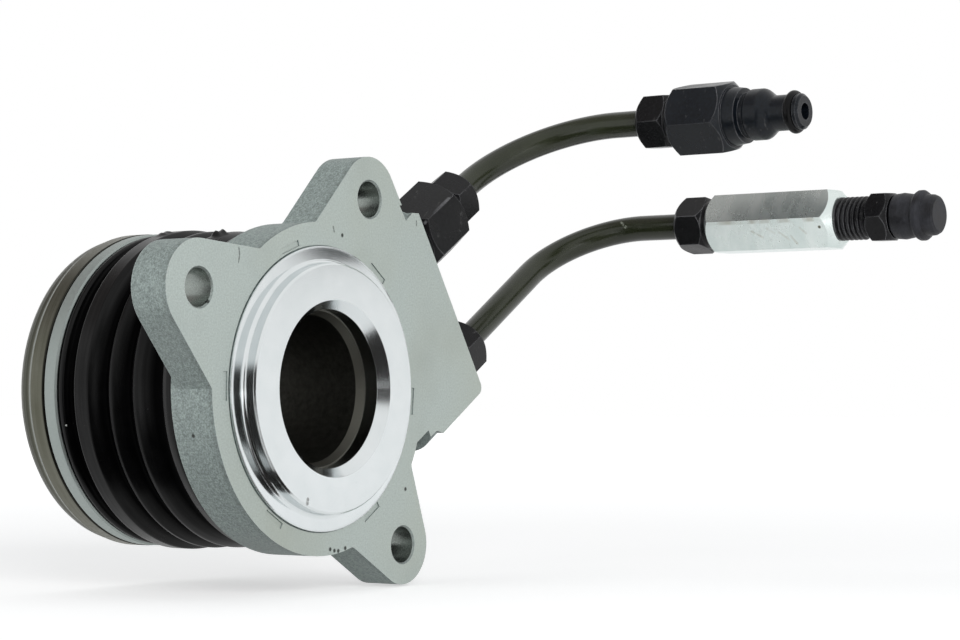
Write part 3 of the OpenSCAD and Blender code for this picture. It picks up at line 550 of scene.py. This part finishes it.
def boot_rubber():
    """Black bellows: matt in the valleys, rubbed to a sheen on the folds."""
    look = Look("boot_rubber")
    bloom = look.noise(130, detail=4, roughness=0.6)
    drawn = look.noise(1.0, detail=3, stretch=(70, 1500, 70))
    base = look.mix(look.span(bloom, 0.4, 0.75), (0.0006, 0.0006, 0.0007), (0.0018, 0.0018, 0.0019))
    dust = look.span(look.cells(420), 0.05, 0.02, 0.0, 0.3)
    base = look.mix(dust, base, (0.06, 0.06, 0.06))
    sheen = look.times(look.span(look.radius(), *BOOT_SHEEN_R), look.span(drawn, 0.3, 0.7, 0.12, 0.22))
    look.shade(
        Base_Color=look.mix(look.spots(BOOT_SPECKS, BOOT_SPECK_R), base, (0.45, 0.46, 0.44)),
        Specular_IOR_Level=look.math("ADD", sheen, 0.01),
        Roughness=look.span(bloom, 0.3, 0.7, 0.26, 0.36),
        Normal=look.bump(look.noise(2400, detail=2), 0.03 * MM, 0.25),
    )
    return look.material


def cap_rubber():
    """Soft black cap with a bluish bloom and creases round it."""
    look = Look("cap_rubber", Specular_IOR_Level=0.25)
    bloom = look.noise(330, detail=4, roughness=0.6)
    creases = look.noise(1.0, detail=3, stretch=(150, 1300, 150))
    look.shade(
        Base_Color=look.mix(look.span(bloom, 0.35, 0.7), (0.006, 0.006, 0.0075), (0.026, 0.027, 0.032)),
        Roughness=look.span(bloom, 0.3, 0.7, 0.42, 0.6),
        Normal=look.bump(creases, 0.25 * MM, 0.6),
    )
    return look.material


def plastic(name, tone):
    """Moulded plastic."""
    look = Look(name)
    fine = look.noise(1500, detail=2)
    look.shade(
        Base_Color=look.mix(fine, tuple(0.85 * part for part in tone), tone),
        Roughness=look.span(fine, 0.3, 0.7, 0.5, 0.6),
        Normal=look.bump(fine, 0.02 * MM, 0.2),
    )
    return look.material


def black_steel(name, tint, gloss):
    """Black phosphated steel, rubbed grey on its edges."""
    look = Look(name, Specular_IOR_Level=gloss)
    fine = look.noise(1800, detail=4, roughness=0.7)
    cloud = look.noise(150, detail=3)
    streak = look.noise(420, detail=4, stretch=(1, 3, 1))
    rub = look.times(look.edges(WORN_EDGE_R), look.span(cloud, 0.4, 0.62, 0.15, 1.0))
    worn = look.math("MAXIMUM", rub, look.times(look.strokes(WORN_RIDGE, WORN_RIDGE_W), fine))
    base = look.mix(look.span(fine, 0.3, 0.75), tuple(0.25 * part for part in tint), tint)
    base = look.mix(look.span(streak, 0.64, 0.72, 0.0, 0.32), base, (0.10, 0.10, 0.10))
    look.shade(
        Base_Color=look.mix(look.times(worn, 0.75), base, (0.19, 0.19, 0.20)),
        Roughness=look.span(cloud, 0.3, 0.7, 0.2, 0.4),
        Normal=look.bump(fine, 0.05 * MM, 0.25),
    )
    return look.material


def pipe_coating():
    """Dark olive coating on steel pipe, with a thin scratch."""
    look = Look("pipe_coating", Specular_IOR_Level=0.42)
    cloud = look.noise(110, detail=3)
    fine = look.noise(1600, detail=3)
    base = look.mix(look.span(cloud, 0.3, 0.7), (0.011, 0.0135, 0.0055), (0.019, 0.0225, 0.0105))
    scratch = look.times(look.strokes(PIPE_SCRATCHES, PIPE_SCRATCH_W), look.span(fine, 0.35, 0.55))
    look.shade(
        Base_Color=look.mix(scratch, base, (0.26, 0.28, 0.23)),
        Roughness=look.span(cloud, 0.3, 0.7, 0.2, 0.28),
        Normal=look.bump(look.noise(300, detail=1), 0.05 * MM, 0.08),
    )
    return look.material


LOOKS = {
    "cast_aluminium": cast_aluminium(),
    "turned_aluminium": turned_aluminium(),
    "steel": steel("steel", (0.30, 0.30, 0.30), (0.52, 0.52, 0.52), 0.28),
    "zinc_steel": zinc_plate(),
    "bearing_steel": bearing_steel(),
    "rubber": seal_rubber(),
    "piston_plastic": plastic("piston_plastic", (0.40, 0.30, 0.17)),
    "cage_plastic": plastic("cage_plastic", (0.25, 0.15, 0.06)),
    "black_steel": black_steel("black_steel", (0.0075, 0.0075, 0.0085), 0.17),
    "pipe_coating": pipe_coating(),
}
# Pieces whose finish differs from the rest of their slot
PIECE_LOOKS = {
    "boot_bellows": boot_rubber(),
    "dust_cap": cap_rubber(),
    "quick_connector": black_steel("blue_black_steel", (0.006, 0.0085, 0.0125), 0.24),
    "guide_tube": dark_tube(),
    "bearing_carrier": steel("satin_zinc", (0.33, 0.37, 0.355), (0.42, 0.46, 0.445), 0.5, grain=1800),
}
SLOT_OF = {part["node"]: part["material_slot"] for part in frame["record"]["subparts"]}


def dress(piece, slot):
    """Gives a piece the look of a material slot, or its own."""
    piece.data.materials.clear()
    piece.data.materials.append(PIECE_LOOKS.get(piece.name, LOOKS[slot]))


def add_mesh(name, points, faces, slot):
    """A new smooth mesh piece with outward normals."""
    mesh = bpy.data.meshes.new(name)
    mesh.from_pydata(points, [], faces)
    shell = bmesh.new()
    shell.from_mesh(mesh)
    bmesh.ops.recalc_face_normals(shell, faces=shell.faces)
    shell.to_mesh(mesh)
    shell.free()
    for polygon in mesh.polygons:
        polygon.use_smooth = True
    piece = bpy.data.objects.new(name, mesh)
    bpy.context.scene.collection.objects.link(piece)
    dress(piece, slot)
    return piece


def ring_faces(first, second, sides):
    """Quads between two closed rings of points, numbered in rows."""
    for side in range(sides):
        after = (side + 1) % sides
        yield first * sides + side, first * sides + after, second * sides + after, second * sides + side


def rod_faces(rows, sides):
    """Faces of a rod made of rows of points, with both ends closed."""
    faces = [face for row in range(rows) for face in ring_faces(row, row + 1, sides)]
    return faces + [tuple(range(sides)), tuple(rows * sides + side for side in range(sides))]


def fold_height(share, before, after):
    """Height on the way between two keys of the bellows, steeper near the crest than in the valley."""
    if before == after:
        return before
    climb = share if after > before else 1 - share
    ridge = 1 - math.cos(math.pi * climb / 2)
    wave = (1 - math.cos(math.pi * climb)) / 2
    return max(before, after) * (ridge + wave) / 2


def boot_profile(front, back):
    """Closed line of the bellows' wall, as (radius, y) points between two places along y."""
    start = front + BOOT_FRONT_W
    stop = back - BOOT_REAR_W
    keys = [(start + BOOT_FRONT_FLAT, 0.0)]
    for share, height, flat in BOOT_FOLDS:
        crest = front + share * (back - front)
        if len(keys) > 1:
            keys.append(((keys[-1][0] + crest - flat * MM) / 2, 0.0))
        keys += [(crest - flat * MM, height * MM), (crest + flat * MM, height * MM)]
    keys.append((stop - BOOT_REAR_FLAT, 0.0))

    places = [(start, 0.0)]
    for (y0, h0), (y1, h1) in zip(keys, keys[1:]):
        for step in range(BOOT_STEPS):
            share = step / BOOT_STEPS
            places.append((y0 + (y1 - y0) * share, fold_height(share, h0, h1)))
    places += [keys[-1], (stop, 0.0)]
    outer = [(BOOT_VALLEY_R + h, y) for y, h in places]
    inner = [(BOOT_VALLEY_R + h - BOOT_WALL, y) for y, h in places[::2]][::-1]

    band, edge = BOOT_BAND_R, BOOT_EDGE
    bead = [
        (BOOT_SEAT_R, front),
        (band - edge, front),
        (band - BOOT_EDGE_CUT, front + BOOT_EDGE_CUT),
        (band, front + edge),
        (band, start - BOOT_BAND_END),
        (band - BOOT_BAND_STEP, start - BOOT_BAND_FOOT),
    ]
    roll = []
    for step in range(BOOT_ROLL_STEPS + 1):
        turn = math.pi * step / BOOT_ROLL_STEPS
        roll.append((band - BOOT_ROLL_H + BOOT_ROLL_H * math.sin(turn),
                     stop + BOOT_ROLL_PLACE - BOOT_ROLL_W * math.cos(turn)))
    lip_r = BOOT_SEAT_R + BOOT_LIP
    lip = [(band - BOOT_BAND_STEP, back), (lip_r, back), (lip_r, stop + edge)]
    return bead + outer + roll + lip + inner + [(BOOT_SEAT_R, start - edge)]


def nib_height(turn, r, y):
    """How far the stubs of mould flash stand out at one point of the bellows."""
    if r < BOOT_NIB_FROM:
        return 0.0
    lift = 0.0
    for angle, place, wide, tall in BOOT_NIBS:
        across = abs(turn - math.radians(angle)) * r / (wide * MM)
        along = abs(y - place * MM) / BOOT_NIB_LONG
        if across < 1 and along < 1:
            ragged = 0.75 + 0.25 * math.sin(9 * across + 40 * turn)
            rounded = min(1.0, 2.5 * (1 - across)) * (1 - along**2)
            lift = max(lift, tall * MM * ragged * rounded)
    return lift


def make_boot():
    """The bellows, which stretches between the flange and the bearing carrier."""
    low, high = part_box("boot")
    profile = boot_profile(low.y, high.y)
    points = []
    faces = []
    for segment in range(BOOT_SEGMENTS):
        turn = 2 * math.pi * segment / BOOT_SEGMENTS
        for r, y in profile:
            r += nib_height(turn, r, y)
            points.append((r * math.cos(turn), y, r * math.sin(turn)))
        faces += ring_faces(segment, (segment + 1) % BOOT_SEGMENTS, len(profile))
    piece = add_mesh("boot_bellows", points, faces, "rubber")
    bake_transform(piece)
    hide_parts("boot")


def make_spring():
    """The coil spring inside the bellows."""
    low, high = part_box("preload_spring")
    rows = int(SPRING_RINGS_PER_TURN * SPRING_TURNS)
    mean = high.x - SPRING_WIRE_R
    start, stop = low.y + SPRING_WIRE_R, high.y - SPRING_WIRE_R
    points = []
    for row in range(rows + 1):
        turn = 2 * math.pi * row / SPRING_RINGS_PER_TURN
        y = start + (stop - start) * row / rows
        for side in range(SPRING_SIDES):
            angle = 2 * math.pi * side / SPRING_SIDES
            r = mean + SPRING_WIRE_R * math.cos(angle)
            points.append((r * math.cos(turn), y + SPRING_WIRE_R * math.sin(angle), r * math.sin(turn)))
    piece = add_mesh("coil_spring", points, rod_faces(rows, SPRING_SIDES), "steel")
    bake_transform(piece)
    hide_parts("preload_spring")


def make_thread():
    """The bleed screw's thread, on the stretch that shows between adapter and hexagon."""
    low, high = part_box("bleed_screw")
    axis_x, axis_z = (low.x + high.x) / 2, (low.z + high.z) / 2
    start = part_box("bleed_adapter")[0].y
    points = []
    for row in range(THREAD_ROWS + 1):
        along = THREAD_LENGTH * row / THREAD_ROWS
        fade = min(1.0, (THREAD_ROWS - row) / THREAD_END_ROWS)
        for side in range(THREAD_SIDES):
            turn = 2 * math.pi * side / THREAD_SIDES
            phase = (along / THREAD_PITCH + side / THREAD_SIDES) % 1.0
            height = min(1.0, (0.5 - abs(phase - 0.5)) / THREAD_FLANK)
            r = THREAD_ROOT_R + (THREAD_CREST_R - THREAD_ROOT_R) * height * fade
            points.append((axis_x + r * math.cos(turn), start - along, axis_z + r * math.sin(turn)))
    piece = add_mesh("bleed_thread", points, rod_faces(THREAD_ROWS, THREAD_SIDES), "black_steel")
    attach(piece, "bleed_screw")


def make_camera():
    """The photo's camera."""
    data = bpy.data.cameras.new("photo_camera")
    data.lens = CAMERA_LENS
    data.sensor_width = SENSOR_WIDTH
    data.sensor_fit = "HORIZONTAL"
    data.clip_start = CAMERA_CLIP
    camera = bpy.data.objects.new("photo_camera", data)
    back = CAMERA_RIGHT.cross(CAMERA_UP)
    turn = Matrix((CAMERA_RIGHT, CAMERA_UP, back)).transposed().to_4x4()
    camera.matrix_world = Matrix.Translation(CAMERA_PLACE) @ turn
    bpy.context.scene.collection.objects.link(camera)
    bpy.context.scene.camera = camera


def add_lamp(name, place, size, power):
    """A rectangular soft box that looks at the part, and that bright metal doesn't mirror."""
    data = bpy.data.lights.new(name, "AREA")
    data.shape = "RECTANGLE"
    data.size, data.size_y = size
    data.energy = power
    lamp = bpy.data.objects.new(name, data)
    lamp.location = place
    lamp.visible_glossy = False
    lamp.rotation_euler = (Vector(LAMP_TARGET) - Vector(place)).to_track_quat("-Z", "Y").to_euler()
    bpy.context.scene.collection.objects.link(lamp)


def seen_rays(tree):
    """1 for the rays that show the background as it looks: straight, mirrored or through glass."""
    path = tree.nodes.new("ShaderNodeLightPath")
    total = path.outputs["Is Camera Ray"]
    for name in ("Is Glossy Ray", "Is Transmission Ray"):
        most = tree.nodes.new("ShaderNodeMath")
        most.operation = "MAXIMUM"
        tree.links.new(total, most.inputs[0])
        tree.links.new(path.outputs[name], most.inputs[1])
        total = most.outputs[0]
    return total


def make_world():
    """A white surround that adds only a weak fill light."""
    world = bpy.data.worlds.new("studio")
    world.use_nodes = True
    tree = world.node_tree
    fill = tree.nodes["Background"]
    fill.inputs["Color"].default_value = FILL_COLOR
    fill.inputs["Strength"].default_value = FILL_STRENGTH
    white = tree.nodes.new("ShaderNodeBackground")
    white.inputs["Color"].default_value = (1, 1, 1, 1)
    shown = tree.nodes.new("ShaderNodeMixShader")
    tree.links.new(seen_rays(tree), shown.inputs[0])
    tree.links.new(fill.outputs[0], shown.inputs[1])
    tree.links.new(white.outputs[0], shown.inputs[2])
    tree.links.new(shown.outputs[0], tree.nodes["World Output"].inputs["Surface"])
    bpy.context.scene.world = world


def add_sheet(name, corners, look):
    """One flat face of the stage."""
    mesh = bpy.data.meshes.new(name)
    mesh.from_pydata(corners, [], [(0, 1, 2, 3)])
    mesh.materials.append(look.material)
    sheet = bpy.data.objects.new(name, mesh)
    bpy.context.scene.collection.objects.link(sheet)
    return sheet


def make_floor(level):
    """A pale floor that keeps the part's shadow."""
    look = Look("floor_paint", Roughness=0.9, Specular_IOR_Level=0.0, Emission_Color=(1, 1, 1, 1))
    away = look.vector("LENGTH", look.place, output="Value")
    glow = look.span(away, *FLOOR_GLOW_REACH, *FLOOR_GLOW)
    look.shade(
        Base_Color=(FLOOR_TONE, FLOOR_TONE, FLOOR_TONE, 1),
        Emission_Strength=look.times(seen_rays(look.tree), glow),
    )
    floor = add_sheet("floor", [(x * FLOOR_HALF, y * FLOOR_HALF, level) for x, y in SHEET_CORNERS], look)


def add_painted_reflection(name, centre, side, rise, tone, rim):
    """A painted reflection: a grey sheet, hidden from the camera, that only mirror rays meet.

    It spans side and rise either way from its centre, and turns white towards its sides and, from rim on,
    towards its far end.
    """
    look = Look(name + "_paint", Specular_IOR_Level=0.0, Base_Color=(0, 0, 0, 1), Emission_Strength=1.0)
    x, y, _ = look.split(look.place)
    out = look.math("MAXIMUM", look.span(look.math("ABSOLUTE", x), 0.6, 1.0), look.span(y, rim, 1.0))
    look.shade(Emission_Color=look.mix(out, (tone, 0.92 * tone, 0.9 * tone), (1, 1, 1)))
    painted_reflection = add_sheet(name, [(x, y, 0) for x, y in SHEET_CORNERS], look)
    side, rise = Vector(side), Vector(rise)
    turn = Matrix((side, rise, side.cross(rise))).transposed().to_4x4()
    painted_reflection.matrix_world = Matrix.Translation(Vector(centre)) @ turn
    painted_reflection.visible_camera = False
    painted_reflection.visible_diffuse = False
    painted_reflection.visible_shadow = False
    painted_reflection.visible_transmission = False


def make_painted_reflections(level):
    """Painted reflections for bright metal: dark strips on the floor with an upright at their ends, and a
    grey roof.
    """
    reach = STRIP_LENGTH / 2
    up = Vector((0, 0, UPRIGHT_HEIGHT / 2))
    for name, start, toward, wide in STRIPS:
        start = Vector((*start, level + STRIP_LIFT))
        toward = Vector(toward)
        beside = Vector((toward.y, -toward.x, 0)) * wide
        add_painted_reflection(f"card_{name}_floor", start + toward * reach, beside, toward * reach, STRIP_REFLECTION_TONE, STRIP_RIM)
        end = start + toward * STRIP_LENGTH
        add_painted_reflection(f"card_{name}_upright", end + up, beside * UPRIGHT_SPREAD, up, STRIP_REFLECTION_TONE, UPRIGHT_RIM)
    add_painted_reflection("painted_reflection_overhead", ROOF_CENTRE, ROOF_SIDE, ROOF_RISE, ROOF_REFLECTION_TONE, ROOF_RIM)


for node_name, node_object in frame["nodes"].items():
    dress(node_object, SLOT_OF[node_name])

make_camera()
make_boot()
make_spring()
make_thread()

floor_level = cad_box[0][2] - FLOOR_GAP
make_world()
make_floor(floor_level)
for lamp_values in LAMPS:
    add_lamp(*lamp_values)
make_painted_reflections(floor_level)

bpy.context.scene.view_settings.view_transform = "Standard"
